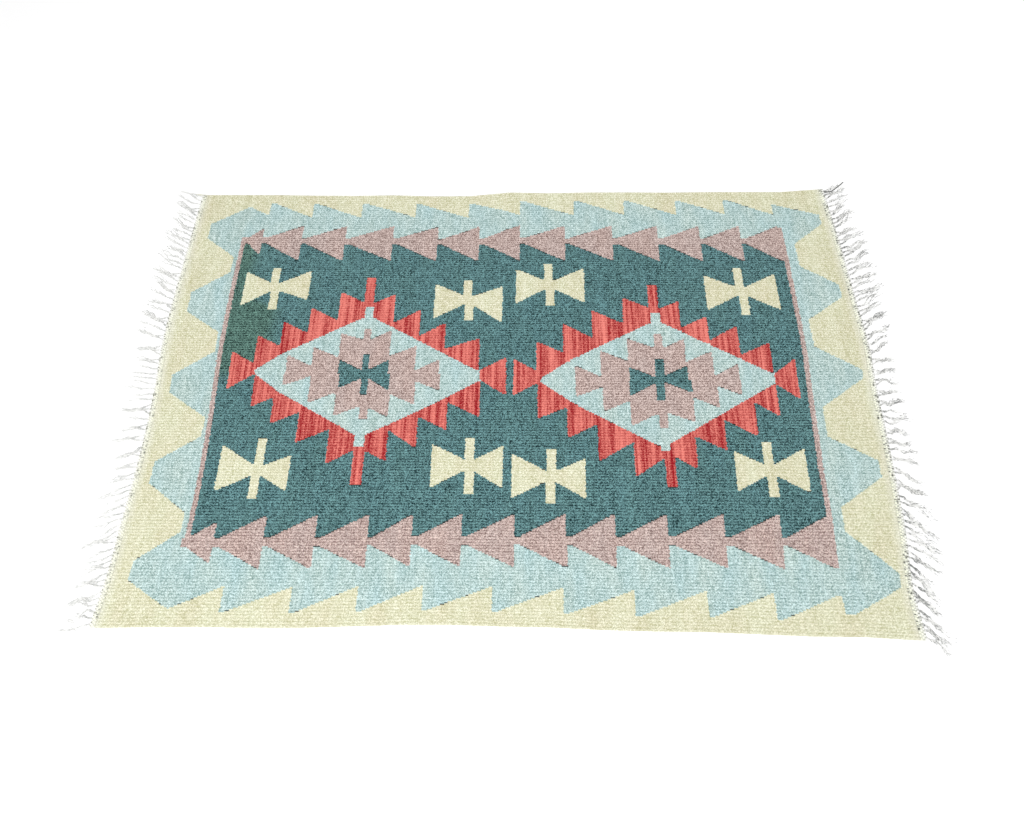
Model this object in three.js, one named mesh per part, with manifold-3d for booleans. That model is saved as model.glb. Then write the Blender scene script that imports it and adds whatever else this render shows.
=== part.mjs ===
// A small flat-woven kilim rug lying flat: one woven wool panel on cotton warps, and at each end
// the knotted white band that locks the weave, with the cut warp ends lying out from it as a fringe.
// Millimetres, +Z up. X runs along the warps, Y across them, and the panel's underside is at z = 0.
import * as THREE from 'three';
import { mergeVertices } from 'three/addons/utils/BufferGeometryUtils.js';
import Module from 'manifold-3d';

const wasm = await Module();
wasm.setup();
const { lerp, seededRandom } = THREE.MathUtils;

// Woven panel
const HALF_LENGTH = 600;
const HALF_WIDTH = 395;
const CLOTH_THICKNESS = 3;
const SELVEDGE_ROUNDING = 0.7;
const LONG_EDGE_STEPS = 32;
const END_STEPS = 44;

// How far each long edge lies outside the half width, from the left end to the right
const SELVEDGES = [
  { x: -600, front: 5.5, back: 4.0 },
  { x: -450, front: 2.0, back: 2.0 },
  { x: -320, front: 1.5, back: -1.5 },
  { x: -220, front: -2.0, back: -1.0 },
  { x: -130, front: -6.0, back: -5.0 },
  { x: -55, front: -6.5, back: -4.0 },
  { x: -10, front: -5.5, back: 3.0 },
  { x: 60, front: -5.5, back: 0.5 },
  { x: 180, front: -2.0, back: 1.5 },
  { x: 330, front: -2.0, back: -1.0 },
  { x: 430, front: 1.5, back: 0.0 },
  { x: 520, front: 1.0, back: -3.0 },
  { x: 600, front: 4.5, back: 3.5 },
];

// How far each end lies outside the half length, from the front edge to the back
const ENDS = [
  { y: -395, left: 5, right: -3 },
  { y: -330, left: -2, right: -7 },
  { y: -250, left: -4, right: 0 },
  { y: -120, left: -7, right: 4 },
  { y: 0, left: -3, right: 5 },
  { y: 60, left: 2, right: 8 },
  { y: 150, left: 3, right: 3 },
  { y: 270, left: 0, right: -3 },
  { y: 395, left: -4, right: -13 },
];

// Knotted band at each end
const BAND_GAP = 0.3;
const BAND_WIDTH = 9;
const BAND_THICKNESS = 2.6;
const KNOT_RISE = 1.2;
const KNOTS_PER_END = 86;

// Fringe strands, one lock of warp ends from each knot
const ROOT_SINK = 3;
const ROOT_WIDTH = 2.4;
const TIP_WIDTH = 1.2;
const ROOT_HEIGHT = 1.8;
const TIP_HEIGHT = 0.9;
const TOP_SHARE = 0.55;
const STRAND_STEPS = 2;
const REACH_VARIATION = 7;
const CLUMP_KNOTS = 4.3;
const CLUMP_PULL = 2.1;

// How far the strands reach out from the band, and how far their tips drift along it, to the back
const FRINGE = [
  { y: -395, leftReach: 44, leftDrift: -9, rightReach: 33, rightDrift: -24 },
  { y: -300, leftReach: 45, leftDrift: -17, rightReach: 37, rightDrift: -33 },
  { y: -200, leftReach: 47, leftDrift: -18, rightReach: 43, rightDrift: -24 },
  { y: -100, leftReach: 46, leftDrift: -8, rightReach: 42, rightDrift: -9 },
  { y: 0, leftReach: 50, leftDrift: 3, rightReach: 36, rightDrift: 6 },
  { y: 120, leftReach: 50, leftDrift: 18, rightReach: 43, rightDrift: 20 },
  { y: 250, leftReach: 50, leftDrift: 25, rightReach: 45, rightDrift: 22 },
  { y: 395, leftReach: 45, leftDrift: 22, rightReach: 33, rightDrift: 20 },
];

const SAND_WOOL = 0xe0d8a8;
const WHITE_COTTON = 0xf1efe6;

// Reads one column of a table smoothly between its rows
function smoothColumn(rows, placeColumn, valueColumn) {
  const places = rows.map((row) => row[placeColumn]);
  const values = rows.map((row) => row[valueColumn]);
  const curve = new THREE.CubicInterpolant(places, values, 1, new Float32Array(1));
  return (place) => curve.evaluate(place)[0];
}

const LONG_EDGES = {
  front: { outward: -1, out: smoothColumn(SELVEDGES, 'x', 'front') },
  back: { outward: 1, out: smoothColumn(SELVEDGES, 'x', 'back') },
};

const END_SIDES = {
  left: {
    outward: -1,
    out: smoothColumn(ENDS, 'y', 'left'),
    reach: smoothColumn(FRINGE, 'y', 'leftReach'),
    drift: smoothColumn(FRINGE, 'y', 'leftDrift'),
    seed: 11,
  },
  right: {
    outward: 1,
    out: smoothColumn(ENDS, 'y', 'right'),
    reach: smoothColumn(FRINGE, 'y', 'rightReach'),
    drift: smoothColumn(FRINGE, 'y', 'rightDrift'),
    seed: 47,
  },
};

function selvedgeY(edge, place) {
  return edge.outward * (HALF_WIDTH + edge.out(place));
}

function endDistance(side, y) {
  return HALF_LENGTH + side.out(y);
}

// Where the front and back corners of one end lie across the rug
function endCorners(side) {
  const place = side.outward * HALF_LENGTH;
  return {
    frontY: selvedgeY(LONG_EDGES.front, place),
    backY: selvedgeY(LONG_EDGES.back, place),
  };
}

// A long edge from the left end to the right, or back again, without its last corner
function longEdgePoints(edge, fromSide, toSide) {
  const startPlace = fromSide.outward * HALF_LENGTH;
  const stopPlace = toSide.outward * HALF_LENGTH;
  const startX = fromSide.outward * endDistance(fromSide, selvedgeY(edge, startPlace));
  const stopX = toSide.outward * endDistance(toSide, selvedgeY(edge, stopPlace));
  return Array.from({ length: LONG_EDGE_STEPS }, (_, step) => {
    const share = step / LONG_EDGE_STEPS;
    const place = lerp(startPlace, stopPlace, share);
    return new THREE.Vector2(lerp(startX, stopX, share), selvedgeY(edge, place));
  });
}

// An end from one corner to the other, without its last corner
function endPoints(side, startY, stopY) {
  return Array.from({ length: END_STEPS }, (_, step) => {
    const y = lerp(startY, stopY, step / END_STEPS);
    return new THREE.Vector2(side.outward * endDistance(side, y), y);
  });
}

function panelOutline() {
  const { left, right } = END_SIDES;
  const leftCorners = endCorners(left);
  const rightCorners = endCorners(right);
  return new THREE.Shape([
    ...longEdgePoints(LONG_EDGES.front, left, right),
    ...endPoints(right, rightCorners.frontY, rightCorners.backY),
    ...longEdgePoints(LONG_EDGES.back, right, left),
    ...endPoints(left, leftCorners.backY, leftCorners.frontY),
  ]);
}

// The woven cloth, its edges a little rounded by the wefts that turn back round the last warp
function wovenPanel() {
  const cloth = new THREE.ExtrudeGeometry(panelOutline(), {
    depth: CLOTH_THICKNESS - 2 * SELVEDGE_ROUNDING,
    bevelThickness: SELVEDGE_ROUNDING,
    bevelSize: SELVEDGE_ROUNDING,
    bevelOffset: -SELVEDGE_ROUNDING,
    bevelSegments: 1,
  });
  return cloth.translate(0, 0, SELVEDGE_ROUNDING);
}

// Moves every point of a geometry to the place that a function gives for it
function reshape(geometry, placeOf) {
  const points = geometry.attributes.position;
  const point = new THREE.Vector3();
  for (let index = 0; index < points.count; index += 1) {
    point.fromBufferAttribute(points, index);
    points.setXYZ(index, ...placeOf(point));
  }
  return geometry;
}

// A box that is mirrored to the left has its triangles wound the other way round again
function facingOut(geometry, side) {
  if (side.outward < 0) {
    geometry.index.array.reverse();
  }
  return geometry;
}

function toSolid(geometry) {
  const bare = geometry.clone();
  bare.deleteAttribute('normal');
  bare.deleteAttribute('uv');
  const merged = mergeVertices(bare);
  return new wasm.Manifold(new wasm.Mesh({
    numProp: 3,
    vertProperties: new Float32Array(merged.attributes.position.array),
    triVerts: new Uint32Array(merged.index.array),
  }));
}

function toGeometry(solid) {
  const { vertProperties, triVerts } = solid.getMesh();
  const geometry = new THREE.BufferGeometry();
  geometry.setAttribute('position', new THREE.BufferAttribute(vertProperties, 3));
  geometry.setIndex(new THREE.BufferAttribute(triVerts, 1));
  geometry.computeVertexNormals();
  return geometry;
}

// The band is a flat strip just clear of the panel's end, its top raised once over each knot
function knottedBand(side) {
  const { frontY, backY } = endCorners(side);
  const halfKnots = 2 * KNOTS_PER_END;
  const strip = new THREE.BoxGeometry(1, 1, 1, 1, halfKnots, 1);
  reshape(strip, ({ x, y, z }) => {
    const share = y + 0.5;
    const along = lerp(frontY, backY, share);
    const overKnot = Math.round(share * halfKnots) % 2 === 1;
    const top = BAND_THICKNESS + (overKnot ? KNOT_RISE : 0);
    const out = endDistance(side, along) + BAND_GAP + (x + 0.5) * BAND_WIDTH;
    return [side.outward * out, along, z > 0 ? top : 0];
  });
  return facingOut(strip, side);
}

// The line that a strand follows on the floor, from inside its knot out to its tip
function strandLine(side, knot) {
  const { frontY, backY } = endCorners(side);
  const rootY = lerp(frontY, backY, (knot + 0.5) / KNOTS_PER_END);
  const rootX = endDistance(side, rootY) + BAND_GAP + BAND_WIDTH - ROOT_SINK;
  const chance = 2 * seededRandom(side.seed + knot) - 1;
  const reach = ROOT_SINK + side.reach(rootY) + REACH_VARIATION * chance;
  const clump = CLUMP_PULL * Math.sin((2 * Math.PI * knot) / CLUMP_KNOTS);
  const tipY = rootY + side.drift(rootY) + clump;
  return new THREE.QuadraticBezierCurve(
    new THREE.Vector2(rootX, rootY),
    new THREE.Vector2(lerp(rootX, rootX + reach, 0.4), lerp(rootY, tipY, 0.25)),
    new THREE.Vector2(rootX + reach, tipY),
  );
}

// A strand lies on its wide flat face and tapers to its tip
function fringeStrand(side, knot) {
  const line = strandLine(side, knot);
  const strand = new THREE.BoxGeometry(1, 1, 1, STRAND_STEPS, 1, 1);
  reshape(strand, ({ x, y, z }) => {
    const share = x + 0.5;
    const spine = line.getPoint(share);
    const heading = line.getTangent(share);
    const sideways = y * lerp(ROOT_WIDTH, TIP_WIDTH, share) * (z > 0 ? TOP_SHARE : 1);
    return [
      side.outward * (spine.x - heading.y * sideways),
      spine.y + heading.x * sideways,
      z > 0 ? lerp(ROOT_HEIGHT, TIP_HEIGHT, share) : 0,
    ];
  });
  return facingOut(strand, side);
}

// Band and strands are one piece, joined where each root is buried in its knot
function fringe(side) {
  let whole = toSolid(knottedBand(side));
  for (let knot = 0; knot < KNOTS_PER_END; knot += 1) {
    whole = whole.add(toSolid(fringeStrand(side, knot)));
  }
  return toGeometry(whole);
}

function namedMesh(name, geometry, color) {
  const material = new THREE.MeshStandardMaterial({ color, roughness: 0.95, metalness: 0 });
  const mesh = new THREE.Mesh(geometry, material);
  mesh.name = name;
  return mesh;
}

const rug = new THREE.Group();
rug.add(namedMesh('woven_panel', wovenPanel(), SAND_WOOL));
rug.add(namedMesh('fringe_left', fringe(END_SIDES.left), WHITE_COTTON));
rug.add(namedMesh('fringe_right', fringe(END_SIDES.right), WHITE_COTTON));

export default rug;
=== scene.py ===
from bisect import bisect_left
from math import radians, pi

import bpy
import numpy as np
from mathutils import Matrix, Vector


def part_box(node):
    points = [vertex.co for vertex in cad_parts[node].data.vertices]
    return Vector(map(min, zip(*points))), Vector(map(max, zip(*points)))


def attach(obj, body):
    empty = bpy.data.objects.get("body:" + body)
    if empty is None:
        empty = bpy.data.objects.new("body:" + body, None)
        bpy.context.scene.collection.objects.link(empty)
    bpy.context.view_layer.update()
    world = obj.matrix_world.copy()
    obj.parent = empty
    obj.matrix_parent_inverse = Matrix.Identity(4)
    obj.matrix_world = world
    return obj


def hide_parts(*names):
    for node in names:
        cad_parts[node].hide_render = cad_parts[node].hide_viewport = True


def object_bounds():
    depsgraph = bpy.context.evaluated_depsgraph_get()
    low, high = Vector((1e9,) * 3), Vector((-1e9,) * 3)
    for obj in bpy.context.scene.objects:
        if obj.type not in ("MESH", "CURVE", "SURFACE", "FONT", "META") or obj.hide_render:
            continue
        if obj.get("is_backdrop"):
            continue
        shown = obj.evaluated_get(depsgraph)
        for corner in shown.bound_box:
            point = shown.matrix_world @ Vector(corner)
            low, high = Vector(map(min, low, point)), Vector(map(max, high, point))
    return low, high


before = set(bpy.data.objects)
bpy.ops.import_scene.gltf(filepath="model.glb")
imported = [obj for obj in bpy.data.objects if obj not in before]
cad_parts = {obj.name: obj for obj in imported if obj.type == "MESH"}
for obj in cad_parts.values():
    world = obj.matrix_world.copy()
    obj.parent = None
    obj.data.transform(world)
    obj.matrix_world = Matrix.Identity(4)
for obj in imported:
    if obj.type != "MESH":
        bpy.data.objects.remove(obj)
cad_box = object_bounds()

# The cloth's lie: a small kilim, flat on the floor, its cotton warps along X and its wool wefts along Y.
# It was woven by hand, so its ends and selvedges bow in and out by a few millimetres.
# The chart below is drawn on a true rectangle, in millimetres, and follows the cloth's edges near them.
MM = 0.001
HALF_LENGTH = 600
HALF_WIDTH = 395
END_SLACK = 15
SELVEDGE_SLACK = 9
RIM_LOW, RIM_HIGH = 0.1, 0.9
BOW_POWER = 3

panel_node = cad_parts["woven_panel"]
cloth_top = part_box("woven_panel")[1].z
panel_corners = [corner.co for corner in panel_node.data.vertices]
rim = np.array([(x, y) for x, y, z in panel_corners if RIM_LOW < z / cloth_top < RIM_HIGH]) / MM


def rim_side(axis, outward, limit):
    """The points of the cloth's rim along one side, in order along that side."""
    side = rim[rim[:, axis] * outward > limit]
    side = side[np.argsort(side[:, 1 - axis])]
    return side[:, 1 - axis], side[:, axis] - outward * (HALF_LENGTH, HALF_WIDTH)[axis]


END_BOW = {outward: rim_side(0, outward, HALF_LENGTH - END_SLACK) for outward in (-1, 1)}
SELVEDGE_BOW = {outward: rim_side(1, outward, HALF_WIDTH - SELVEDGE_SLACK) for outward in (-1, 1)}


def end_bow(outward, y):
    return np.interp(y, *END_BOW[outward])


def lie(x, y):
    """Where a point of the chart lies on the floor."""
    end = np.where(x < 0, end_bow(-1, y), end_bow(1, y))
    selvedge = np.where(y < 0, np.interp(x, *SELVEDGE_BOW[-1]), np.interp(x, *SELVEDGE_BOW[1]))
    return x + end * np.abs(x / HALF_LENGTH) ** BOW_POWER, y + selvedge * np.abs(y / HALF_WIDTH) ** BOW_POWER


# The weaver's chart: every motif of a slit tapestry is made of shapes with two edges along the weft
# and straight slants between them, which climb one warp at a time.
# Later shapes lie over earlier ones, so the chart goes from the sand border in to the bow-ties.
# The last of these is no yarn: it is painted shade, for the cheeks of the slits.
SAND, BLUE, TEAL, RED, MAUVE, PAINTED_SLIT_SHADE = range(6)
WARPS = 344
WARP_PITCH = 2 * HALF_WIDTH / WARPS
chart = []


def shape(yarn, x0, low0, high0, x1, low1, high1):
    """One woven shape, from its edge at x0 to its edge at x1."""
    chart.append((yarn, x0, low0, high0, x1, low1, high1))


# The pale blue border is a row of teeth along each selvedge and lobes with blunt tips at each end.
# Its teeth run in under the teal field as far as the inner line.
BACK_TEETH = (-465, -380, -284, -179, -77, 21, 123, 218, 316, 408, 500)
FRONT_TEETH = (-421, -316, -216, -118, -14, 92, 197, 304, 402, 502)
BACK_PEAK, BACK_LOW, BACK_FIRST_LOW, BACK_INNER = 375, 342, 347, 200
FRONT_PEAK, FRONT_LOW, FRONT_INNER = -337, -374, -200
TOOTH_FLAT = 7

# Blunt ends of the blue lobes and of the sand between them: how far along Y each runs, and where it lies
LEFT_LOBES = {
    "front": (-370, -329, -257, -180, -100, -22, 56, 137, 220, 295, 366),
    "back": (-370, -301, -227, -144, -67, 12, 94, 177, 252, 327, 366),
    "x": (-500, -573, -508, -580, -509, -581, -512, -578, -515, -575, -507),
}
RIGHT_LOBES = {
    "front": (-366, -325, -247, -162, -96, 7, 65, 162, 227, 317, 367),
    "back": (-366, -306, -210, -135, -46, 22, 117, 187, 275, 337, 367),
    "x": (514, 592, 519, 588, 517, 591, 520, 587, 526, 586, 500),
}


def lobe_edge(lobes, y):
    """Where the blue of one end meets the sand, in the row at y."""
    turns = np.ravel(list(zip(lobes["front"], lobes["back"])))
    return np.interp(y, turns, np.repeat(lobes["x"], 2))


left_front, left_back, right_front = LEFT_LOBES["front"][0], LEFT_LOBES["back"][-1], RIGHT_LOBES["front"][0]
shape(BLUE, LEFT_LOBES["x"][-1], BACK_INNER, left_back, BACK_TEETH[0], BACK_INNER, BACK_FIRST_LOW)
shape(BLUE, LEFT_LOBES["x"][0], left_front, FRONT_INNER, FRONT_TEETH[0], FRONT_PEAK, FRONT_INNER)
for tooth, next_tooth in zip(BACK_TEETH, BACK_TEETH[1:]):
    shape(BLUE, tooth, BACK_INNER, BACK_PEAK, tooth + TOOTH_FLAT, BACK_INNER, BACK_PEAK)
    shape(BLUE, tooth + TOOTH_FLAT, BACK_INNER, BACK_PEAK, next_tooth, BACK_INNER, BACK_LOW)
for tooth, next_tooth in zip(FRONT_TEETH, FRONT_TEETH[1:]):
    shape(BLUE, tooth, FRONT_LOW, FRONT_INNER, tooth + TOOTH_FLAT, FRONT_LOW, FRONT_INNER)
    shape(BLUE, tooth + TOOTH_FLAT, FRONT_LOW, FRONT_INNER, next_tooth, FRONT_PEAK, FRONT_INNER)
shape(BLUE, FRONT_TEETH[-1], right_front, FRONT_INNER, RIGHT_LOBES["x"][0], right_front, FRONT_INNER)

# The teal field, closed at the front and back by a chain of mauve triangles that all point left.
# A chain has the height of its neck at the left and right ends, and its triangles' reach up and down.
FIELD_END = 500
CHAIN_START = -503
NECK_HALF = 6.5
NECK_FLAT = 8
BACK_CHAIN = {
    "edges": (-468, -392, -309, -218, -133, -55, 21, 105, 193, 277, 355, 430, 501),
    "left": 290, "right": 281, "up": 34, "down": 45, "first_up": 28, "first_down": 33,
}
FRONT_CHAIN = {
    "edges": (-452, -373, -292, -210, -141, -64, 18, 97, 173, 253, 339, 424, 501),
    "left": -274, "right": -263, "up": 43, "down": 40, "first_up": 33, "first_down": 31,
}

shape(TEAL, -FIELD_END, FRONT_CHAIN["left"], BACK_CHAIN["left"],
      FIELD_END, FRONT_CHAIN["right"], BACK_CHAIN["right"])
for chain in (BACK_CHAIN, FRONT_CHAIN):
    apexes = (CHAIN_START,) + chain["edges"]
    for apex, edge in zip(apexes, chain["edges"]):
        neck = np.interp(edge, (-FIELD_END, FIELD_END), (chain["left"], chain["right"]))
        up, down = chain["up"], chain["down"]
        if apex == CHAIN_START:
            up, down = chain["first_up"], chain["first_down"]
        start = apex + NECK_FLAT
        shape(MAUVE, apex, neck - NECK_HALF, neck + NECK_HALF, start, neck - NECK_HALF, neck + NECK_HALF)
        shape(MAUVE, start, neck - NECK_HALF, neck + NECK_HALF, edge, neck - down, neck + up)

# A narrow mauve guard closes each end of the field; it wanders a little along the weft
GUARD_HALF = 4
GUARDS = (
    {"y": (-276, -210, 0, 250, 297), "x": (-495, -495, -502, -504, -504)},
    {"y": (-300, -215, -150, 0, 200, 312), "x": (499, 499, 498, 502, 505, 505)},
)

# Two diamonds of pale blue with red stems, a red comb on each slope and a red triangle at each side.
# A slope is points from left to right, and a step with a flat top joins each pair. A comb is its teeth's
# edges from the stem out, their tips, and how far off the diamond the first foot and the others stand.
MEDALLIONS = (
    {
        "middle_y": 14,
        "back_left": ((-436, 20.5), (-392, 52), (-254, 124)), "back_right": ((-239, 124), (-45, 17)),
        "front_left": ((-436, 14), (-390, -19.5), (-248, -97)),
        "front_right": ((-231, -97), (-125, -44), (-45, 1)),
        "back_top": 145, "front_top": -116,
        "back_stem": (-258, -241, 144, 206), "front_stem": (-247, -229, -182, -116),
        "combs": {
            "back_left": ((-302, -352, -398, -440), (177, 144, 116, 88), (28, 19)),
            "back_right": ((-202, -154, -108, -47), (172, 139, 113, 82), (28, 9)),
            "front_left": ((-292, -347, -395, -434), (-147, -111, -78, -48), (26, 14)),
            "front_right": ((-193, -145, -97, -43), (-141, -120, -88, -65), (26, 10)),
        },
        "left_triangle": (-481, -15, 57, -436, 13, 31), "right_triangle": (-45, 3, 21, 0, -26, 45),
        "star_back": (
            (-382, 50, -338, 28), (-338, 65, -292, 45), (-292, 92, -251, 79), (-251.5, 100, -239, 100),
            (-239, 79, -203, 98), (-203, 48, -157, 67), (-157, 20, -115, 41),
        ),
        "star_front": (
            (-384, -9, -337, 9), (-336, -41, -289, -21), (-289, -64, -245, -46), (-245, -69, -233, -69),
            (-233, -47, -196, -66), (-196, -24, -154, -43), (-154, 0, -112, -18),
        ),
        "bow_back": ((-290, 41, -247, 19), (-248.5, 51, -237.5, 51), (-238, 20, -203, 41)),
        "bow_front": ((-286, -13, -246, 6), (-247.5, -25.5, -236, -25.5), (-237, 6, -199, -18)),
    },
    {
        "middle_y": 3,
        "back_left": ((59, 5), (110, 39.9), (252, 112.5)), "back_right": ((268, 112.5), (448, 13.5)),
        "front_left": ((59, -2), (120, -43.8), (252, -115)), "front_right": ((267, -109.5), (448, -3)),
        "back_top": 132, "front_top": -122,
        "back_stem": (250, 267, 131, 188), "front_stem": (257, 273, -181, -122),
        "combs": {
            "back_left": ((204, 149, 98, 52), (163, 137, 111, 75), (28, 22)),
            "back_right": ((302, 348, 397, 447), (155, 124, 106, 73), (27, 8)),
            "front_left": ((209, 152, 103, 54), (-165, -140, -101, -67), (18, 15)),
            "front_right": ((308, 357, 409, 448), (-152, -120, -97, -62), (18, 11)),
        },
        "left_triangle": (13, -26, 42, 58, -1, 16), "right_triangle": (448, -4, 14, 485, -32, 43),
        "star_back": (
            (117, 30, 160, 9), (161, 58, 208, 37), (208, 81, 256, 62), (254, 90, 268, 90),
            (268, 62, 305, 81), (305, 36, 350, 57), (350, 10, 391, 33),
        ),
        "star_front": (
            (118, -28, 161, -11), (163, -55, 207, -35), (207, -80, 253, -57), (253, -82, 266.5, -82),
            (266, -56, 311, -72), (311, -28, 353, -48), (353, -8, 392, -25),
        ),
        "bow_back": ((209, 26, 254, 7), (252.5, 41, 265.5, 41), (264, 9, 306, 29)),
        "bow_front": ((208, -27, 253, -2), (251.5, -33.5, 265, -33.5), (264, 0, 309, -20)),
    },
)


def half_shape(yarn, middle_y, x0, y0, x1, y1):
    """A woven shape from a motif's middle line out to the slant from one point to another."""
    shape(yarn, x0, *sorted((middle_y, y0)), x1, *sorted((middle_y, y1)))


for medallion in MEDALLIONS:
    middle_y = medallion["middle_y"]
    for slope, (edges, tips, (stem_foot, slope_foot)) in medallion["combs"].items():
        face, side = slope.split("_")
        outward = 1 if face == "back" else -1
        slope_x, slope_y = zip(*medallion[slope])
        stem_left, stem_right, _, _ = medallion[f"{face}_stem"]
        inner = max(slope_x[-1], stem_left) if side == "left" else min(slope_x[0], stem_right)
        foot = stem_foot
        for edge, tip in zip(edges, tips):
            foot_y = np.interp(inner, slope_x, slope_y) + outward * foot
            half_shape(RED, middle_y, edge, tip, inner, foot_y)
            inner = edge
            foot = slope_foot
    for stem_left, stem_right, stem_low, stem_high in (medallion["back_stem"], medallion["front_stem"]):
        shape(RED, stem_left, stem_low, stem_high, stem_right, stem_low, stem_high)
    shape(RED, *medallion["left_triangle"])
    shape(RED, *medallion["right_triangle"])
    for face in ("back", "front"):
        left, right = medallion[f"{face}_left"], medallion[f"{face}_right"]
        top = medallion[f"{face}_top"]
        for line in (left, ((left[-1][0], top), (right[0][0], top)), right):
            for start, stop in zip(line, line[1:]):
                half_shape(BLUE, middle_y, *start, *stop)
    for yarn, motif in ((MAUVE, "star"), (TEAL, "bow")):
        for slant in medallion[f"{motif}_back"] + medallion[f"{motif}_front"]:
            half_shape(yarn, middle_y, *slant)

# Eight sand bow-ties: the bar's middle, how far the ears reach, each ear's middle and half height,
# the bar's reach up and down, and how far its foot leans to the right
BOW_TIE_COLUMNS = (
    "x", "y", "left", "right", "left_y", "left_half", "right_y", "right_half", "up", "down", "lean")
BOW_TIES = (
    (-426, 187, 57, 64, 184, 36, 191, 31, 41, 46, 4),
    (-70, 159, 61, 61, 157, 36, 149.5, 37, 41, 43, 4),
    (75, 190, 60, 63, 187, 36, 188, 36, 44, 44, 3),
    (415, 174, 63, 63, 173, 36, 174, 37, 48, 47, 4),
    (-403, -158, 66, 53, -154, 39, -162, 30, 54, 47, -1),
    (-56, -147, 62, 54, -149, 37, -150, 36, 45, 48, 1),
    (75, -165, 63, 55, -164, 37, -168, 33, 45, 43, -2),
    (420, -152, 54, 57, -154, 33, -152, 36, 47, 44, 2),
)
BAR_HALF = 7.5
WAIST_HALF = 5

for row in BOW_TIES:
    tie = dict(zip(BOW_TIE_COLUMNS, row))
    x, y = tie["x"], tie["y"]
    shape(SAND, x - tie["left"], tie["left_y"] - tie["left_half"], tie["left_y"] + tie["left_half"],
          x, y - WAIST_HALF, y + WAIST_HALF)
    shape(SAND, x, y - WAIST_HALF, y + WAIST_HALF,
          x + tie["right"], tie["right_y"] - tie["right_half"], tie["right_y"] + tie["right_half"])
    middle = y + (tie["up"] - tie["down"]) / 2
    shape(SAND, x - BAR_HALF - tie["lean"] / 2, middle, y + tie["up"],
          x + BAR_HALF - tie["lean"] / 2, middle, y + tie["up"])
    shape(SAND, x - BAR_HALF + tie["lean"] / 2, y - tie["down"], middle,
          x + BAR_HALF + tie["lean"] / 2, y - tie["down"], middle)


def crossing(piece, y):
    """Where one shape of the chart crosses the row at y, or nothing."""
    _, x0, low0, high0, x1, low1, high1 = piece
    start, stop = 0.0, 1.0
    for at_start, at_stop in ((y - low0, y - low1), (high0 - y, high1 - y)):
        if at_start <= 0 and at_stop <= 0:
            return None
        if at_start < 0:
            start = max(start, at_start / (at_start - at_stop))
        elif at_stop < 0:
            stop = min(stop, at_start / (at_start - at_stop))
    return (x0 + start * (x1 - x0), x0 + stop * (x1 - x0)) if start < stop else None


def lay(runs, start, stop, yarn):
    """Lays one yarn over part of a row of runs."""
    start, stop = sorted((start, stop))
    kept = [(start, stop, yarn)]
    for run_start, run_stop, other in runs:
        if run_start < start:
            kept.append((run_start, min(run_stop, start), other))
        if run_stop > stop:
            kept.append((max(run_start, stop), run_stop, other))
    return sorted(kept)


# A run shorter than a few picks is left out, and every turn is a little uneven.
# Turns are kept to a thousandth of a millimetre, so two of them are either one or clearly apart.
SHORTEST_RUN = 3.0
TURN_UNEVEN = 0.6
TURN_DIGITS = 3


def weave_row(y, rng):
    """The runs of yarn along one warp, from the left end to the right."""
    runs = [(-HALF_LENGTH, HALF_LENGTH, SAND)]
    if FRONT_LOW < y < BACK_PEAK:
        if FRONT_PEAK < y < BACK_LOW:
            runs = lay(runs, lobe_edge(LEFT_LOBES, y), lobe_edge(RIGHT_LOBES, y), BLUE)
        if LEFT_LOBES["front"][0] < y < LEFT_LOBES["back"][-1]:
            runs = lay(runs, lobe_edge(LEFT_LOBES, y), -FIELD_END, BLUE)
        if RIGHT_LOBES["front"][0] < y < RIGHT_LOBES["back"][-1]:
            runs = lay(runs, FIELD_END, lobe_edge(RIGHT_LOBES, y), BLUE)
    for piece in chart:
        stretch = crossing(piece, y)
        if stretch:
            runs = lay(runs, *stretch, piece[0])
    for guard in GUARDS:
        if guard["y"][0] < y < guard["y"][-1]:
            middle = np.interp(y, guard["y"], guard["x"])
            runs = lay(runs, middle - GUARD_HALF, middle + GUARD_HALF, MAUVE)
    row = []
    for start, stop, yarn in runs:
        if row and (row[-1][2] == yarn or stop - start < SHORTEST_RUN):
            row[-1] = (row[-1][0], stop, row[-1][2])
        else:
            turn = round(start + rng.normal(0, TURN_UNEVEN), TURN_DIGITS) if row else start
            if row:
                row[-1] = (row[-1][0], turn, row[-1][2])
            row.append((turn, stop, yarn))
    return row


# Woven panel: wool weft packed down over cotton warps that lie in pairs, one rounded rib to a pair.
# Each colour turns back round its last warp, and two that turn side by side leave a slit between warps.
# The mesh is one closed sheet with ribs on both faces, cut at every turn of yarn.
WEAVE_SEED = 5
RIB_PITCH = 2 * WARP_PITCH
CLOTH_TOP = cloth_top / MM
GROOVE_TOP = CLOTH_TOP - 0.9
GROOVE_UNDER = 0.8
SELVEDGE_MIDDLE = CLOTH_TOP / 2
SLIT_TOP = 1.75
SLIT_UNDER = 1.35
SLIT_RAMP = 1.5
SLIT_SHORTEST, SLIT_LONGEST = 3.5, 20
SLIT_CHANCES = {
    frozenset((TEAL, MAUVE)): 0.65,
    frozenset((BLUE, MAUVE)): 0.3,
    frozenset((SAND, BLUE)): 0.07,
}
OTHER_SLIT_CHANCE = 0.1
END_TURN = 1.0
COARSE_STEPS = 17
COARSE_STATIONS = np.linspace(END_TURN - HALF_LENGTH, HALF_LENGTH - END_TURN, COARSE_STEPS)
JUST_PAST = 0.01

# A rib's rounded section: places across it, as shares of the rib pitch from its crest, and heights there
SHOULDER_TOP = CLOTH_TOP - 0.28
SHOULDER_UNDER = 0.15
RIB_TOP = ((-0.36, SHOULDER_TOP), (-0.17, CLOTH_TOP), (0.17, CLOTH_TOP), (0.36, SHOULDER_TOP))
RIB_UNDER = ((0.3, SHOULDER_UNDER), (-0.3, SHOULDER_UNDER))

rng = np.random.default_rng(WEAVE_SEED)
row_heights = [-HALF_WIDTH + (warp + 0.5) * WARP_PITCH for warp in range(WARPS)]
rows = [weave_row(y, rng) for y in row_heights]


def yarn_at(row, x):
    return next(yarn for start, stop, yarn in row if start <= x <= stop)


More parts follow.
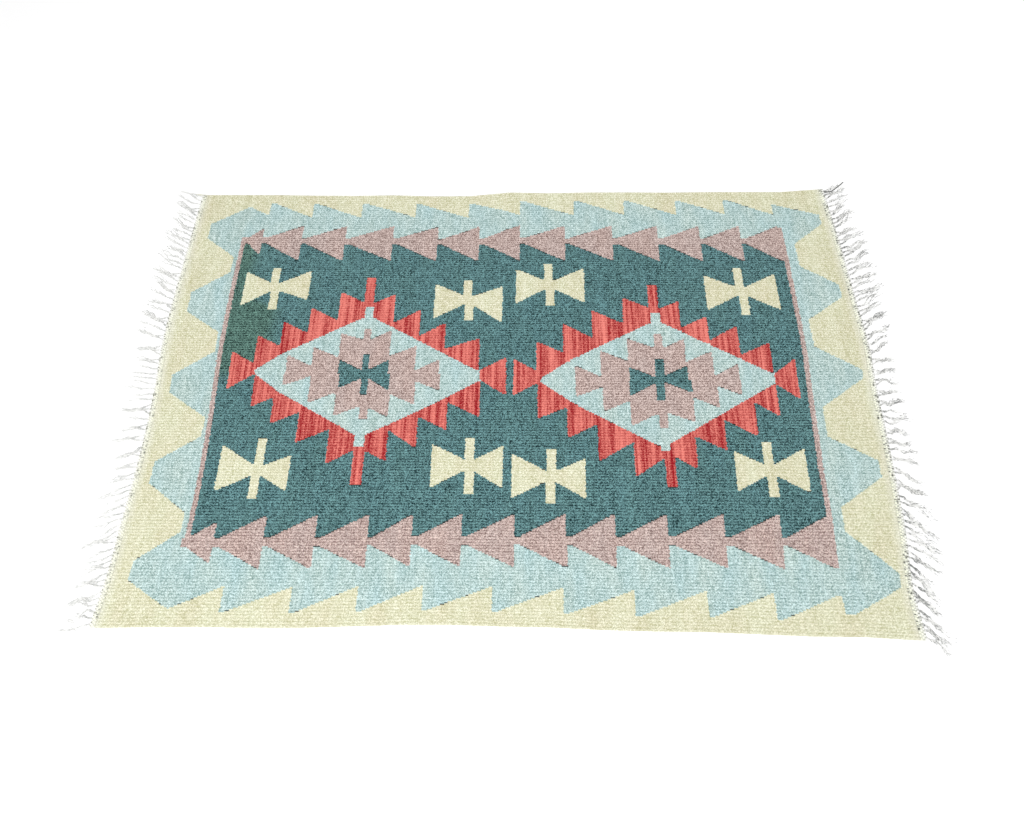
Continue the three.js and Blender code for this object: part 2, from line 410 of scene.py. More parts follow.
def slits_between(front_row, back_row, rng):
    """The stretches where two neighbouring warps hold different yarns and the weaver left them apart."""
    turns = sorted({start for start, _, _ in front_row + back_row} | {HALF_LENGTH})
    found = []
    for start, stop in zip(turns, turns[1:]):
        middle = (start + stop) / 2
        front_yarn, back_yarn = yarn_at(front_row, middle), yarn_at(back_row, middle)
        chance = SLIT_CHANCES.get(frozenset((front_yarn, back_yarn)), OTHER_SLIT_CHANCE)
        can_part = front_yarn != back_yarn and SLIT_SHORTEST < stop - start < SLIT_LONGEST
        if can_part and rng.random() < chance:
            found.append((start, stop))
    return found


slits = [[]] + [slits_between(front, back, rng) for front, back in zip(rows, rows[1:])] + [[]]
stations = []
for warp, row in enumerate(rows):
    marks = {*COARSE_STATIONS, HALF_LENGTH} | {start for start, _, _ in row}
    marks |= {mark for seam in (warp, warp + 1) for slit in slits[seam] for mark in slit}
    stations.append(sorted(marks))

points = []
chart_places = []


def add_line(y, marks, heights):
    """A line of points along one warp; gives the marks and the number of each point."""
    first = len(points)
    marks = np.array(marks)
    x_floor, y_floor = lie(marks, y)
    points.extend(zip(x_floor, y_floor, np.broadcast_to(heights, marks.shape)))
    chart_places.extend((mark, y) for mark in marks)
    return list(marks), list(range(first, len(points)))


def between(line, start, stop):
    """The points of a line from one mark to another, both included."""
    marks, numbers = line
    return numbers[bisect_left(marks, start):bisect_left(marks, stop) + 1]


# The lines between neighbouring warps are a rib's crest and a groove by turns
seams = []
for seam in range(WARPS + 1):
    y = -HALF_WIDTH + seam * WARP_PITCH
    marks = {mark for warp in (seam - 1, seam) if 0 <= warp < WARPS for mark in stations[warp]}
    for start, stop in slits[seam]:
        marks |= {start + SLIT_RAMP, stop - SLIT_RAMP}
    marks = sorted(marks)
    if seam in (0, WARPS):
        line = add_line(y, marks, SELVEDGE_MIDDLE)
        seams.append((line, line))
        continue
    in_slit = np.array([any(start < mark < stop for start, stop in slits[seam]) for mark in marks])
    top, under = (CLOTH_TOP, 0) if seam % 2 else (GROOVE_TOP, GROOVE_UNDER)
    seams.append((add_line(y, marks, np.where(in_slit, SLIT_TOP, top)),
                  add_line(y, marks, np.where(in_slit, SLIT_UNDER, under))))

faces = []
face_yarns = []
face_sides = []
TOP, UNDER, LEFT_END, RIGHT_END = range(4)


def add_face(corners, yarn, side):
    faces.append(list(dict.fromkeys(corners)))
    face_yarns.append(yarn)
    face_sides.append(side)


def rib_lines(profile, crest_y, half, marks):
    """The lines of one half of a rib, on one face of the cloth."""
    return [add_line(crest_y + across * RIB_PITCH, marks, height)
            for across, height in profile if across * half > 0]


def beside_slit(seam, start, stop):
    return any(slit_start <= start and stop <= slit_stop for slit_start, slit_stop in slits[seam])


for warp, y in enumerate(row_heights):
    marks = stations[warp]
    (front_top, front_under), (back_top, back_under) = seams[warp], seams[warp + 1]
    half = 1 if warp % 2 else -1
    crest_y = y - half * WARP_PITCH / 2
    top_lines = [front_top, *rib_lines(RIB_TOP, crest_y, half, marks), back_top]
    under_lines = [back_under, *rib_lines(RIB_UNDER, crest_y, half, marks), front_under]
    run_starts = [start for start, _, _ in rows[warp]]
    for start, stop in zip(marks, marks[1:]):
        yarn = rows[warp][bisect_left(run_starts, start + JUST_PAST) - 1][2]
        # A strip beside a slit takes the painted slit shade, which stands in for the shade inside the slit.
        front_yarn, back_yarn = (
            PAINTED_SLIT_SHADE if beside_slit(seam, start, stop) else yarn for seam in (warp, warp + 1))
        for lines, side, first, last in ((top_lines, TOP, front_yarn, back_yarn),
                                         (under_lines, UNDER, back_yarn, front_yarn)):
            strip_yarns = [first] + [yarn] * (len(lines) - 3) + [last]
            for near, far, strip_yarn in zip(lines, lines[1:], strip_yarns):
                add_face(between(near, start, stop) + between(far, start, stop)[::-1], strip_yarn, side)
    for end, side in ((0, LEFT_END), (-1, RIGHT_END)):
        corners = [numbers[end] for _, numbers in top_lines + under_lines]
        add_face(corners if side == LEFT_END else corners[::-1], rows[warp][end][2], side)

panel_mesh = bpy.data.meshes.new("woven_panel_cloth")
panel_mesh.from_pydata(np.array(points) * MM, [], faces)
panel_mesh.polygons.foreach_set("material_index", face_yarns)
panel_mesh.polygons.foreach_set("use_smooth", [True] * len(faces))

# One map lays the top face in its lower half and the underside in its upper half, with room round each.
# The other gives every point its place on the weaver's chart, which the yarns' finish follows.
MAP_LENGTH = 2 * HALF_LENGTH + 60
MAP_WIDTH = 2 * HALF_WIDTH + 30

loop_points = np.zeros(len(panel_mesh.loops), np.int32)
panel_mesh.loops.foreach_get("vertex_index", loop_points)
loop_sides = np.repeat(face_sides, [len(face) for face in faces])
flat_places = np.array(points)[loop_points]
end_faces = np.select([loop_sides == LEFT_END, loop_sides == RIGHT_END], [-1, 1])
map_u = 0.5 + flat_places[:, 0] / MAP_LENGTH
map_u += end_faces * flat_places[:, 2] / MAP_LENGTH
map_v = 0.25 + 0.5 * flat_places[:, 1] / MAP_WIDTH + np.where(loop_sides == UNDER, 0.5, 0)
on_chart = np.array(chart_places)[loop_points].T * MM
for name, columns in (("OFBake", (map_u, map_v)), ("weave_chart", on_chart)):
    layer = panel_mesh.uv_layers.new(name=name)
    layer.uv.foreach_set("vector", np.ravel(np.column_stack(columns)).astype(np.float32))


class Tone:
    """A value that changes over a surface. Sums and products of tones become Math nodes."""

    def __init__(self, tree, socket=None):
        self.tree = tree
        self.socket = socket

    def node(self, kind, settings, values, output=0):
        """Adds a node, makes its settings, fills its sockets with values or tones, gives one output."""
        added = self.tree.nodes.new(kind)
        for name, setting in settings.items():
            setattr(added, name, setting)
        for name, value in values.items():
            if isinstance(value, Tone):
                self.tree.links.new(value.socket, added.inputs[name])
            else:
                added.inputs[name].default_value = value
        return Tone(self.tree, added.outputs[output])

    def math(self, operation, *values):
        return self.node("ShaderNodeMath", {"operation": operation}, dict(enumerate(values)))

    def __add__(self, other):
        return self.math("ADD", self, other)

    __radd__ = __add__

    def __sub__(self, other):
        return self.math("SUBTRACT", self, other)

    def __rsub__(self, other):
        return self.math("SUBTRACT", other, self)

    def __mul__(self, other):
        return self.math("MULTIPLY", self, other)

    __rmul__ = __mul__

    def __truediv__(self, other):
        return self.math("DIVIDE", self, other)

    def __rtruediv__(self, other):
        return self.math("DIVIDE", other, self)

    def __abs__(self):
        return self.math("ABSOLUTE", self)

    def floor(self):
        return self.math("FLOOR", self)

    def clamp(self):
        return self.node("ShaderNodeClamp", {}, {"Value": self})

    def axis(self, index):
        """One of the three numbers of this vector."""
        return self.node("ShaderNodeSeparateXYZ", {}, {"Vector": self}, index)

    def noise(self, scale, detail=2.0):
        """Soft speckle about zero on this vector, with a scale along each axis."""
        stretched = self.node("ShaderNodeVectorMath", {"operation": "MULTIPLY"}, {0: self, 1: scale})
        speckle = self.node("ShaderNodeTexNoise", {}, {"Vector": stretched, "Scale": 1.0, "Detail": detail})
        return speckle - 0.5

    def speck(self, column, row):
        """A value from 0 to 1 for each cell of a grid, at random."""
        corner = self.node("ShaderNodeCombineXYZ", {}, {"X": column.floor(), "Y": row.floor()})
        return self.node("ShaderNodeTexWhiteNoise", {"noise_dimensions": "2D"}, {"Vector": corner})

    def blend(self, first, second):
        """Mixes two colours by this value."""
        return self.node("ShaderNodeMix", {"data_type": "RGBA"}, {0: self, 6: first, 7: second}, 2)

    def feed(self, shader, socket):
        self.tree.links.new(self.socket, shader.inputs[socket])


LIGHT_LEVEL = 1.34


def dye(red, green, blue):
    """A colour as the eye names it in this light, 0 to 255, as the share of light that yarn gives back."""
    shares = np.array((red, green, blue)) / 255
    linear = np.where(shares <= 0.04045, shares / 12.92, ((shares + 0.055) / 1.055) ** 2.4)
    return linear / LIGHT_LEVEL


def paint(shares):
    return (*np.clip(shares, 0, 1), 1.0)


# The weft's picks and fibres, and how often its streaks, slubs and dye lots change along X and Y, to a metre
PICK = 2.3 * MM
FIBRE = 0.95 * MM
FIBRES_PER_RIB = 5
STREAK_SCALE = (110, 2.5, 1)
FINE_STREAK_SCALE = (330, 9, 1)
SLUB_SCALE = (120, 7.3, 1)
LOT_SCALE = (28, 9, 1)
LOT_CONTRAST = 3
MEAN_SQUARE = 0.33
WEFT_RELIEF = 0.0004
WEFT_RELIEF_SHARE = 0.4

# Another dye lot fills the back left corner of the field; its edge steps to the left near the back
LOT_X = -400 * MM
LOT_Y = 0
LOT_STEP = 60 * MM
LOT_STEP_Y = 140 * MM
LOT_FADE = 30 * MM

# The last wefts at each end are packed less tightly, so the white warps show between them
WARPS_SHOW_FROM = (HALF_LENGTH - 12) * MM
WARPS_SHOW_FADE = 12 * MM
WARPS_SHOW_SHARE = 0.33
WARP_COTTON = dye(254, 255, 250)


def wool(name, dark, light, tint, tint_share, streak, fine_streak, heather, slub, painted_groove_shade, corner_lot=0):
    """Hand-spun wool weft: dye streaks along the picks, each fibre its own tone, slubs, and painted shade
    between ribs.
    Some of it is of another dye lot, the tint, and with a corner lot so is all of the field's corner."""
    material = bpy.data.materials.new(name)
    material.use_nodes = True
    shader = material.node_tree.nodes["Principled BSDF"]
    shader.inputs["Roughness"].default_value = 0.95
    shader.inputs["Specular IOR Level"].default_value = 0.15
    place = Tone(material.node_tree).node("ShaderNodeUVMap", {"uv_map": "weave_chart"}, {})
    along, to_back = place.axis(0), place.axis(1)
    across = to_back / (RIB_PITCH * MM)
    rib = across.floor()
    fibre = place.speck(along / FIBRE, FIBRES_PER_RIB * across)
    off_crest = 2 * (across - rib) - 1
    on_rib = place.node("ShaderNodeCombineXYZ", {}, {"X": along, "Y": rib})
    streaks = streak * place.noise(STREAK_SCALE) + fine_streak * place.noise(FINE_STREAK_SCALE)
    grain = heather * (fibre * fibre - MEAN_SQUARE) + slub * on_rib.noise(SLUB_SCALE)
    # Towards each groove between ribs the tone is darkened by the painted groove shade.
    tone = (0.5 + streaks + grain - painted_groove_shade * (off_crest * off_crest - MEAN_SQUARE)).clamp()
    yarn = tone.blend(paint(dark), paint(light))
    tinted_yarn = tone.blend(paint(tint * dark / light), paint(tint))
    lot_edge = LOT_X - LOT_STEP * ((to_back - LOT_STEP_Y) / LOT_FADE).clamp()
    in_corner = ((lot_edge - along) / LOT_FADE).clamp() * ((to_back - LOT_Y) / LOT_FADE).clamp()
    tinted = tint_share * (0.5 + LOT_CONTRAST * place.noise(LOT_SCALE)) + corner_lot * in_corner
    weft = tinted.clamp().blend(yarn, tinted_yarn)
    near_end = ((abs(along) - WARPS_SHOW_FROM) / WARPS_SHOW_FADE).clamp()
    (WARPS_SHOW_SHARE * near_end).blend(weft, paint(WARP_COTTON)).feed(shader, "Base Color")
    turn = (along / PICK + 0.5 * rib) * pi
    height = abs(turn.math("SINE", turn)) + 0.5 * fibre
    relief = {"Strength": WEFT_RELIEF_SHARE, "Distance": WEFT_RELIEF, "Height": height}
    height.node("ShaderNodeBump", {}, relief).feed(shader, "Normal")
    return material


panel_yarns = (
    wool("sand_wool", dye(196, 196, 150), dye(268, 268, 246), dye(255, 242, 214), tint_share=0.35,
         streak=0.25, fine_streak=0.3, heather=1.15, slub=0.35, painted_groove_shade=0.15),
    wool("pale_blue_wool", dye(138, 167, 160), dye(243, 261, 257), dye(208, 250, 262), tint_share=0.35,
         streak=0.25, fine_streak=0.6, heather=1.3, slub=0.6, painted_groove_shade=0.28),
    wool("teal_wool", dye(2, 36, 40), dye(131, 180, 184), dye(127, 170, 157), tint_share=0.2,
         streak=0.3, fine_streak=0.4, heather=1.45, slub=0.7, painted_groove_shade=0.42, corner_lot=1.0),
    wool("red_wool", dye(164, 22, 34), dye(262, 155, 142), dye(246, 128, 118), tint_share=0.3,
         streak=2.6, fine_streak=1.8, heather=1.0, slub=0.3, painted_groove_shade=0.3),
    wool("mauve_wool", dye(136, 112, 107), dye(248, 228, 221), dye(252, 220, 208), tint_share=0.35,
         streak=0.2, fine_streak=0.3, heather=1.45, slub=0.6, painted_groove_shade=0.35),
    # Painted shade for the cheeks of the slits: nearly black wool, standing in for the shade inside them.
    wool("slit_painted_shade", dye(14, 17, 17), dye(48, 52, 51), dye(60, 58, 52), tint_share=0.3,
         streak=0.2, fine_streak=0.2, heather=0.6, slub=0.3, painted_groove_shade=0.2),
)
for material in panel_yarns:
    panel_mesh.materials.append(material)
panel = bpy.data.objects.new("woven_panel_cloth", panel_mesh)
bpy.context.scene.collection.objects.link(panel)
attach(panel, "root")
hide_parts("woven_panel")

# Fringe: at each end the white cotton warps come out of the weave, are twined against the last wefts
# in three close rows, knotted two by two, and lie out on the floor as loose locks of thin threads.
# The twining sits on a narrow band of bare warps; the locks lean outwards, gather in clumps and fray.
BAND_GAP = 0.3
BAND_WIDTH = 9
WEB_TOP = 2.3
TWINED_ROWS = 3
BEAD_LENGTH = 3.6
BEAD_RADIUS = 1.5
BEAD_SLANT = 0.9
BEAD_BLUNT = 1.05
BEAD_UNEVEN = 0.2
BEAD_LIFTS = (0.1, 0.6)
BEAD_STEPS = 7
BEAD_SIDES = 7
LOOSE_END_RADIUS = 0.8
LOOSE_END_SIDES = 6

# Locks and their threads: a pair of values is the least and the most of what differs from one to the next,
# and waves are in radians from a thread's knot to its tip
KNOTS_PER_END = WARPS // 4
CLUMP_SIZES = (1, 2, 3)
CLUMP_CHANCES = (0.6, 0.3, 0.1)
ROOT_SINK = 2
REACH_VARIATION = 9
REACH_BEND = 0.4
DRIFT_VARIATION = 6
DRIFT_BEND = 0.25
GATHERED_BY = (0.4, 1.0)
LOCK_UNEVEN = 2
THREADS_PER_LOCK = 6
THREAD_LENGTHS = (0.75, 1.05)
THREAD_ROOT = 0.42
THREAD_TIP = 0.28
THREAD_SIDES = 4
THREAD_STEPS = 30
THREAD_APART = 0.8
THREAD_SPREAD = 2.2
THREAD_LIFT = 0.8
THREAD_CURL_SHARE = 0.4
TWIST_LENGTH = 14
WAVE_HEIGHTS = (0.4, 1.2)
WAVE_STARTS = (0, 6)
SWAY_WAVES = (4, 10)
THREAD_WAVES = (5, 12)
TANGLE_WAVES = (8, 22)
FRAY_LENGTH = 6
FRAY_LENGTHS = (0.4, 1.2)
FRAY_WANDER = 1.2
FRAY_RADIUS = 0.2
FRAY_TIP = 0.08
FRAY_HIGHEST = 2
FRAY_STEPS = 5
FRAY_SIDES = 3

# At each place across the rug: how far the locks reach out from the band, how far their tips drift to the
# back, and how much they curl. At each back corner the last warps come out as one loose end.
# Flecks are painted shade between threads, darker at the right end, away from the lamps: the shares of a
# thread that are flecked all along it, more at its tip, and more at its root, where they paint the cloth's
# shadow.
FRINGE_Y = (-395, -300, -200, -100, 0, 120, 250, 395)
# The twining's flecks are painted shade in the gaps between its beads, darker at the right end.
FRINGE_ENDS = {
    "left": {
        "outward": -1, "seed": 11, "tangle": 1.1,
        "shade_fleck": dye(230, 232, 229), "shade_flecks": (0.3, 0.06, 0.3),
        "twining_shade_fleck": dye(150, 152, 138), "twining_shade_flecks": (0.16, 0, 0),
        "bare_warps_in_painted_shade": dye(244, 244, 230), "loose_end_shade": dye(232, 230, 204),
        "loose_end": ((-588, 397.5, 2), (-600, 399, 1.5), (-611, 400.5, 1.1), (-620, 401, 1)),
        "reach": (44, 45, 47, 46, 50, 50, 50, 45),
        "drift": (-9, -17, -18, -8, 3, 18, 25, 22),
        "curl": (3.5, 2.0, 1.2, 1.2, 1.5, 1.5, 2.0, 2.5),
    },
    "right": {
        "outward": 1, "seed": 47, "tangle": 2.0,
        "shade_fleck": dye(146, 148, 146), "shade_flecks": (0.26, 0.25, 0.45),
        "twining_shade_fleck": dye(104, 106, 98), "twining_shade_flecks": (0.18, 0, 0),
        "bare_warps_in_painted_shade": dye(226, 228, 214), "loose_end_shade": dye(92, 94, 88),
        "loose_end": (
            (587, 397, 2), (594, 394, 1.6), (601, 392, 1.4), (613, 395, 1.1), (628, 407, 1), (638, 416, 1)),
        "reach": (33, 37, 43, 42, 36, 43, 45, 33),
        "drift": (-24, -33, -24, -9, 6, 20, 22, 20),
        "curl": (1.8, 1.8, 2.2, 3.2, 4.2, 3.2, 2.6, 2.0),
    },
}


def skin(rings):
    """Closes a row of rings of points into one solid.
    Gives its points, its faces, and how far along it each point is."""
    count, sides, _ = rings.shape
    first = np.arange(count - 1)[:, None] * sides + np.arange(sides)
    second = np.arange(count - 1)[:, None] * sides + (np.arange(sides) + 1) % sides
    quads = np.stack((first, first + sides, second + sides, second), -1).reshape(-1, 4).tolist()
    last = (count - 1) * sides
    caps = [list(range(sides)), list(range(last, last + sides))[::-1]]
    steps = np.linalg.norm(np.diff(rings.mean(1), axis=0), axis=1)
    along = np.repeat(np.append(0, np.cumsum(steps)), sides)
    return rings.reshape(-1, 3), quads + caps, along


def strand(line, radii, sides):
    """A round strand along a line of points, with a radius at each."""
    heading = np.gradient(line, axis=0)
    heading /= np.linalg.norm(heading, axis=1)[:, None]
    sideways = np.cross(heading, (0, 0, 1))
    sideways /= np.linalg.norm(sideways, axis=1)[:, None]
    upward = np.cross(sideways, heading)
    turn = 2 * pi * np.arange(sides) / sides
    spokes = np.cos(turn)[:, None] * sideways[:, None] + np.sin(turn)[:, None] * upward[:, None]
    return skin(line[:, None] + np.reshape(radii, (-1, 1, 1)) * spokes)


def smooth(share):
    share = np.clip(share, 0, 1)
    return share * share * (3 - 2 * share)


def on_floor(outward, out, y, z):
    """Points so far out from the cloth's end."""
    end = HALF_LENGTH + outward * end_bow(outward, y)
    return np.stack(np.broadcast_arrays(outward * (end + out), y, z), -1)


# The band's parts and the locks, each as a solid with its finish and its share of cream.
# The twining is creamiest beside the wool.
LOCKS, TWINING, BARE_WARPS_IN_PAINTED_SHADE, LOOSE_END = range(4)
CREAM_SHARES = (1.0, 0.6, 0.1)
BEAD_PLACES = np.linspace(-0.5, 0.5, BEAD_STEPS)
BEAD_RADII = BEAD_RADIUS * np.sqrt(BEAD_BLUNT - (2 * BEAD_PLACES) ** 4)
THREAD_PLACES = np.linspace(0, 1, THREAD_STEPS)
THREAD_RADII = THREAD_ROOT + (THREAD_TIP - THREAD_ROOT) * THREAD_PLACES
WAVES_GROWN = smooth(2 * THREAD_PLACES)
LOOSENED = smooth(1.6 * THREAD_PLACES - 0.5)


def bare_warps_in_painted_shade(outward, front_y, back_y):
    """The flat band of warps between the cloth and the knots, coloured with painted shade that shows between
    the beads.
    """
    y = np.linspace(front_y, back_y, WARPS // 2)[:, None]
    out = BAND_GAP + BAND_WIDTH * np.array((0, 1, 1, 0)[::outward])
    web = skin(on_floor(outward, out, y, np.array((0, 0, WEB_TOP, WEB_TOP)[::outward])))
    return (*web, BARE_WARPS_IN_PAINTED_SHADE, 0)


def loose_end(line):
    """The last warps at one corner, lying out as one end."""
    radii = np.full(len(line), LOOSE_END_RADIUS)
    return (*strand(np.array(line), radii, LOOSE_END_SIDES), LOOSE_END, 0)


def twining(outward, front_y, back_y, rng):
    """Three close rows of beads, each bead one turn of the twining yarns over a pair of warps."""
    knot_pitch = (back_y - front_y) / KNOTS_PER_END
    for row in range(TWINED_ROWS):
        row_out = BAND_GAP + BAND_WIDTH * (row + 0.5) / TWINED_ROWS
        first_y = front_y + BEAD_LENGTH / 2 + row % 2 * knot_pitch / 4
        for bead_y in np.arange(first_y, back_y - BEAD_LENGTH / 2, knot_pitch / 2):
            out = row_out + BEAD_SLANT * (-1) ** row * BEAD_PLACES + rng.normal(0, BEAD_UNEVEN)
            y = bead_y + BEAD_LENGTH * BEAD_PLACES
            line = on_floor(outward, out, y, BEAD_RADIUS + rng.uniform(*BEAD_LIFTS))
            yield (*strand(line, BEAD_RADII, BEAD_SIDES), TWINING, CREAM_SHARES[row])


def clumps(rng):
    """Splits an end's knots into neighbouring groups whose locks lie together."""
    knot = 0
    while knot < KNOTS_PER_END:
        size = min(rng.choice(CLUMP_SIZES, p=CLUMP_CHANCES), KNOTS_PER_END - knot)
        yield range(knot, knot + size)
        knot += size


def ripple(height, waves, rng):
    """An uneven wave along a thread that grows from nothing at its knot."""
    height = height * rng.uniform(*WAVE_HEIGHTS)
    turns = THREAD_PLACES * rng.uniform(*waves)
    return height * np.sin(turns + rng.uniform(*WAVE_STARTS)) * WAVES_GROWN


def frayed_tip(line, rng):
    """The thin last fibres of one thread, which wander aside from it."""
    share = np.linspace(0, 1, FRAY_STEPS)[:, None]
    aim = line[-1] - line[-4] + rng.normal(0, FRAY_WANDER, 3)
    aim *= FRAY_LENGTH * rng.uniform(*FRAY_LENGTHS) / np.linalg.norm(aim)
    fray = line[-1] + share * aim + share ** 2 * rng.normal(0, FRAY_WANDER, 3)
    fray[:, 2] = np.clip(fray[:, 2], FRAY_RADIUS, FRAY_HIGHEST)
    return strand(fray, np.linspace(FRAY_RADIUS, FRAY_TIP, FRAY_STEPS), FRAY_SIDES)


def locks(side, front_y, back_y, rng):
    """The locks of one end: at each knot a few threads, twisted together, that part and fray further out."""
    outward = side["outward"]
    place = THREAD_PLACES
    knot_pitch = (back_y - front_y) / KNOTS_PER_END
    roots = front_y + (np.arange(KNOTS_PER_END) + 0.5) * knot_pitch
    for clump in clumps(rng):
        middle_y = roots[clump].mean()
        reach, drift, curl = (
            np.interp(middle_y, FRINGE_Y, side[column]) for column in ("reach", "drift", "curl"))
        reach += ROOT_SINK + REACH_VARIATION * rng.uniform(-1, 1)
        drift += DRIFT_VARIATION * rng.uniform(-1, 1)
        sway = ripple(curl, SWAY_WAVES, rng)
        gathered = smooth(place / rng.uniform(*GATHERED_BY))
        for knot in clump:
            root_x = on_floor(outward, BAND_GAP + BAND_WIDTH - ROOT_SINK, roots[knot], 0)[0]
            aside = middle_y - roots[knot] + rng.uniform(-LOCK_UNEVEN, LOCK_UNEVEN)
            lock_y = roots[knot] + gathered * aside
            lock_y = lock_y + sway + 2 * DRIFT_BEND * (1 - place) * place * drift + place ** 2 * drift
            for thread in range(THREADS_PER_LOCK):
                length = reach * rng.uniform(*THREAD_LENGTHS)
                out = length * (2 * REACH_BEND * (1 - place) * place + place ** 2)
                out = out + ripple(THREAD_CURL_SHARE * curl, THREAD_WAVES, rng)
                turn = 2 * pi * (place * length / TWIST_LENGTH + thread / THREADS_PER_LOCK) + knot
                y = lock_y + THREAD_APART * np.cos(turn) * (1 - 0.5 * LOOSENED)
                y = y + rng.normal(0, THREAD_SPREAD) * LOOSENED + ripple(side["tangle"], TANGLE_WAVES, rng)
                z = THREAD_RADII + THREAD_APART * (1 + np.sin(turn)) * (1 - LOOSENED)
                z = z + rng.uniform(0, THREAD_LIFT) * np.sin(pi * place)
                line = np.stack((root_x + outward * out, y, z), -1)
                yield (*strand(line, THREAD_RADII, THREAD_SIDES), LOCKS, 0)
                yield (*frayed_tip(line, rng), LOCKS, 0)


# Cotton is bleached white, a little creamy in the twining, with dark flecks of painted shade where a
# thread's plies part
WHITE_COTTON = np.array((0.845, 0.845, 0.825))
CREAM_COTTON = np.array((0.85, 0.86, 0.71))
COTTON_FIBRES = (1800, 1800, 1800)
COTTON_RELIEF = 0.0003
COTTON_RELIEF_SHARE = 0.4
LOCK_FLECK = 2.2 * MM
TWINING_FLECK = 1.4 * MM
FLECK_EDGE = 5
PATCHES = (45, 45, 45)
PATCH_CONTRAST = 4
PATCH_LEAST = 0.1
# Towards the knots the painted shade thickens into the cloth's shadow; towards the tips the flecks thicken
# too.
ROOTS_UNTIL = (HALF_LENGTH + 24) * MM
ROOTS_FADE = 12 * MM
TIPS_FROM = (HALF_LENGTH + 36) * MM
TIPS_FADE = 14 * MM


def plain_cotton(name, shade):
    """Cotton in one shade, with fine fibres in its surface."""
    material = bpy.data.materials.new(name)
    material.use_nodes = True
    shader = material.node_tree.nodes["Principled BSDF"]
    shader.inputs["Base Color"].default_value = paint(shade)
    shader.inputs["Roughness"].default_value = 0.9
    shader.inputs["Specular IOR Level"].default_value = 0.2
    fibres = Tone(material.node_tree).node("ShaderNodeTexCoord", {}, {}, 3).noise(COTTON_FIBRES, 3.0)
    relief = {"Strength": COTTON_RELIEF_SHARE, "Distance": COTTON_RELIEF, "Height": fibres}
    fibres.node("ShaderNodeBump", {}, relief).feed(shader, "Normal")
    return material


def shade_flecked_cotton(name, shade_fleck, fleck_length, share, tip_share, root_share):
    """White cotton with dark flecks of painted shade along each thread, in patches,
    and more of them near the knots, where they paint the shadow of the cloth's end, and at the frayed tips."""
    material = plain_cotton(name, WHITE_COTTON)
    shader = material.node_tree.nodes["Principled BSDF"]
    place = Tone(material.node_tree).node("ShaderNodeTexCoord", {}, {}, 3)
    thread_place = place.node("ShaderNodeAttribute", {"attribute_name": "thread_place"}, {}, 1)
    along, thread, cream = (thread_place.axis(index) for index in range(3))
    out = abs(place.axis(0))
    at_tip = ((out - TIPS_FROM) / TIPS_FADE).clamp()
    at_root = ((ROOTS_UNTIL - out) / ROOTS_FADE).clamp()
    patch = PATCH_LEAST + (0.5 + PATCH_CONTRAST * place.noise(PATCHES)).clamp()
    flecked = patch * (share + tip_share * at_tip + root_share * at_root)
    # Where a speck falls under the flecked share, the thread takes the painted shade colour.
    whole = FLECK_EDGE * (place.speck(along / fleck_length, thread + 0.5) - flecked)
    clean = cream.blend(paint(WHITE_COTTON), paint(CREAM_COTTON))
    whole.clamp().blend(paint(shade_fleck), clean).feed(shader, "Base Color")
    return material


def fringe_end(name, side):
    """One end's band and locks, joined into one mesh of cotton."""
    rng = np.random.default_rng(side["seed"])
    outward = side["outward"]
    end_x = np.array(outward * HALF_LENGTH)
    front_y, back_y = (lie(end_x, np.array(y))[1] for y in (-HALF_WIDTH, HALF_WIDTH))
    parts = [bare_warps_in_painted_shade(outward, front_y, back_y), loose_end(side["loose_end"])]
    parts.extend(twining(outward, front_y, back_y, rng))
    parts.extend(locks(side, front_y, back_y, rng))

    part_points, part_faces, part_along, finishes, cream = zip(*parts)
    counts = [len(places) for places in part_points]
    firsts = np.cumsum([0] + counts)
    faces = [
        [corner + first for corner in face]
        for part, first in zip(part_faces, firsts) for face in part]
    mesh = bpy.data.meshes.new(name)
    mesh.from_pydata(np.concatenate(part_points) * MM, [], faces)
    mesh.polygons.foreach_set("use_smooth", [True] * len(faces))
    mesh.polygons.foreach_set("material_index", np.repeat(finishes, [len(part) for part in part_faces]))
    threads = np.repeat(np.arange(len(parts)), counts)
    thread_place = np.column_stack((np.concatenate(part_along) * MM, threads, np.repeat(cream, counts)))
    layer = mesh.attributes.new("thread_place", "FLOAT_VECTOR", "POINT")
    layer.data.foreach_set("vector", np.ravel(thread_place).astype(np.float32))
    # The bare warps' colour is painted shade: the white warps darkened where they lie between the beads.
    for material in (
            shade_flecked_cotton(f"{name}_cotton", side["shade_fleck"], LOCK_FLECK, *side["shade_flecks"]),
            shade_flecked_cotton(f"{name}_twining", side["twining_shade_fleck"], TWINING_FLECK, *side["twining_shade_flecks"]),
            plain_cotton(f"{name}_bare_warps_in_painted_shade", side["bare_warps_in_painted_shade"]),
            plain_cotton(f"{name}_loose_end", side["loose_end_shade"])):
        mesh.materials.append(material)
    piece = bpy.data.objects.new(name, mesh)
    bpy.context.scene.collection.objects.link(piece)
    return piece


for side_name, side in FRINGE_ENDS.items():
    fringe = fringe_end(f"{side_name}_fringe_locks", side)
    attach(fringe, "root")
    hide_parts(f"fringe_{side_name}")

# Floor: a plain white studio floor, one broad flat board with matt paint.
# The rug lies loose on it, and it is set a hair below the cloth's underside.
FLOOR_HALF = 6.0
FLOOR_DROP = 0.0002
FLOOR_WHITE = (0.97, 0.97, 0.97, 1)
FLOOR_CORNERS = ((-1, -1), (1, -1), (1, 1), (-1, 1))
floor_mesh = bpy.data.meshes.new("studio_floor")
floor_points = [(x * FLOOR_HALF, y * FLOOR_HALF, -FLOOR_DROP) for x, y in FLOOR_CORNERS]
floor_mesh.from_pydata(floor_points, [], [(0, 1, 2, 3)])
floor_finish = bpy.data.materials.new("studio_white")
floor_finish.use_nodes = True
floor_shader = floor_finish.node_tree.nodes["Principled BSDF"]
floor_shader.inputs["Base Color"].default_value = FLOOR_WHITE
floor_shader.inputs["Roughness"].default_value = 1.0
floor_shader.inputs["Specular IOR Level"].default_value = 0.0
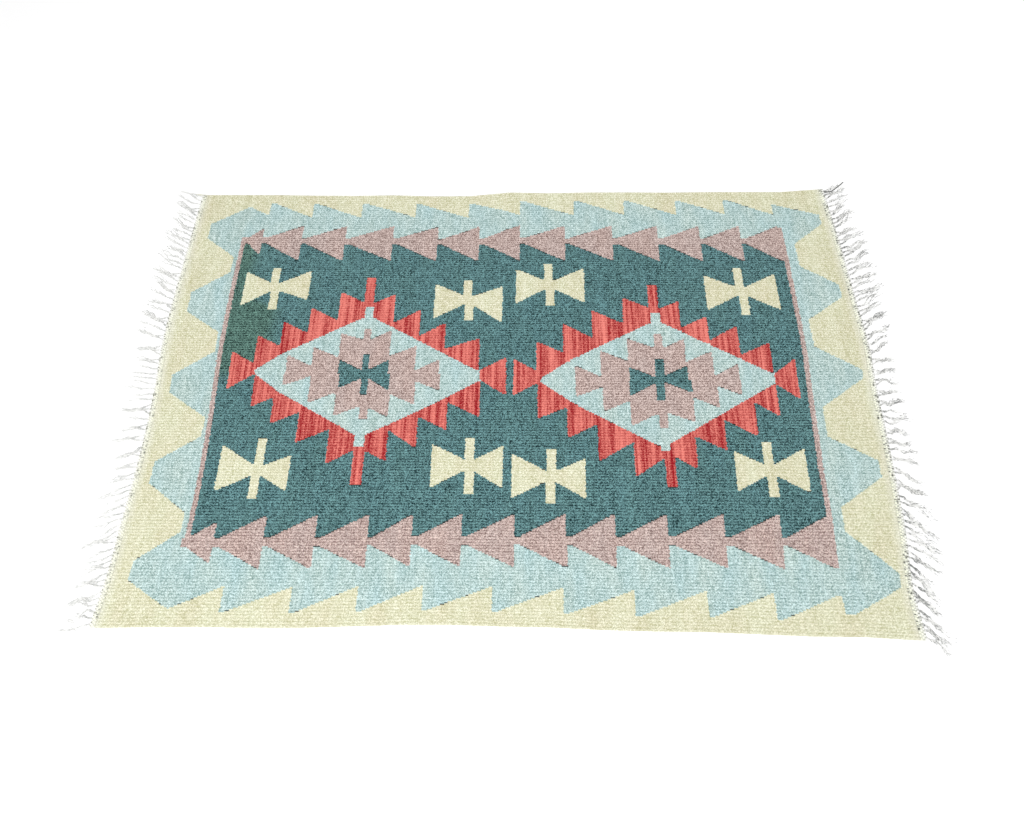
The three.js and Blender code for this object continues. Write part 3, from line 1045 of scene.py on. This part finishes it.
floor_mesh.materials.append(floor_finish)
floor = bpy.data.objects.new("studio_floor", floor_mesh)
bpy.context.scene.collection.objects.link(floor)
floor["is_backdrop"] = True

# Light: an even white room, one broad lamp high at the front left, a soft box nearer the rug on that side
# and a weaker one across from it. The cloth is lightest at its front and a little darker at its back left.
SOFT_BOX_SIZE = 1.2
SOFT_BOXES = (
    {"name": "front_soft_box", "watts": 32, "place": (-0.45, -1.35, 1.9)},
    {"name": "back_soft_box", "watts": 8, "place": (0.9, 1.3, 1.9)},
)
world = bpy.data.worlds.new("studio")
world.use_nodes = True
world.node_tree.nodes["Background"].inputs["Color"].default_value = (1, 1, 1, 1)
world.node_tree.nodes["Background"].inputs["Strength"].default_value = 0.64
bpy.context.scene.world = world
lamp_light = bpy.data.lights.new("broad_lamp", "SUN")
lamp_light.energy = 0.6
lamp_light.angle = radians(8)
lamp = bpy.data.objects.new("broad_lamp", lamp_light)
lamp.rotation_euler = (radians(25), radians(-35), 0)
bpy.context.scene.collection.objects.link(lamp)
for box in SOFT_BOXES:
    box_light = bpy.data.lights.new(box["name"], "AREA")
    box_light.energy = box["watts"]
    box_light.size = SOFT_BOX_SIZE
    soft_box = bpy.data.objects.new(box["name"], box_light)
    soft_box.location = box["place"]
    soft_box.rotation_euler = (-soft_box.location).to_track_quat("-Z", "Y").to_euler()
    bpy.context.scene.collection.objects.link(soft_box)
bpy.context.scene.view_settings.view_transform = "Standard"

# Camera: a wide lens held over the front edge, looking down at the middle of the rug.
# It leans a little to one side, as a camera does that is held by hand.
camera_data = bpy.data.cameras.new("camera")
camera_data.lens = 20.47
camera_data.sensor_width = 36
camera = bpy.data.objects.new("camera", camera_data)
camera.location = (0.0440, -0.3925, 0.9083)
camera.rotation_euler = (radians(20.662), radians(1.748), radians(0.843))
bpy.context.scene.collection.objects.link(camera)
bpy.context.scene.camera = camera

boxes = {"cad": cad_box, "visual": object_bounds()}
{name: [list(map(float, corner)) for corner in box] for name, box in boxes.items()}
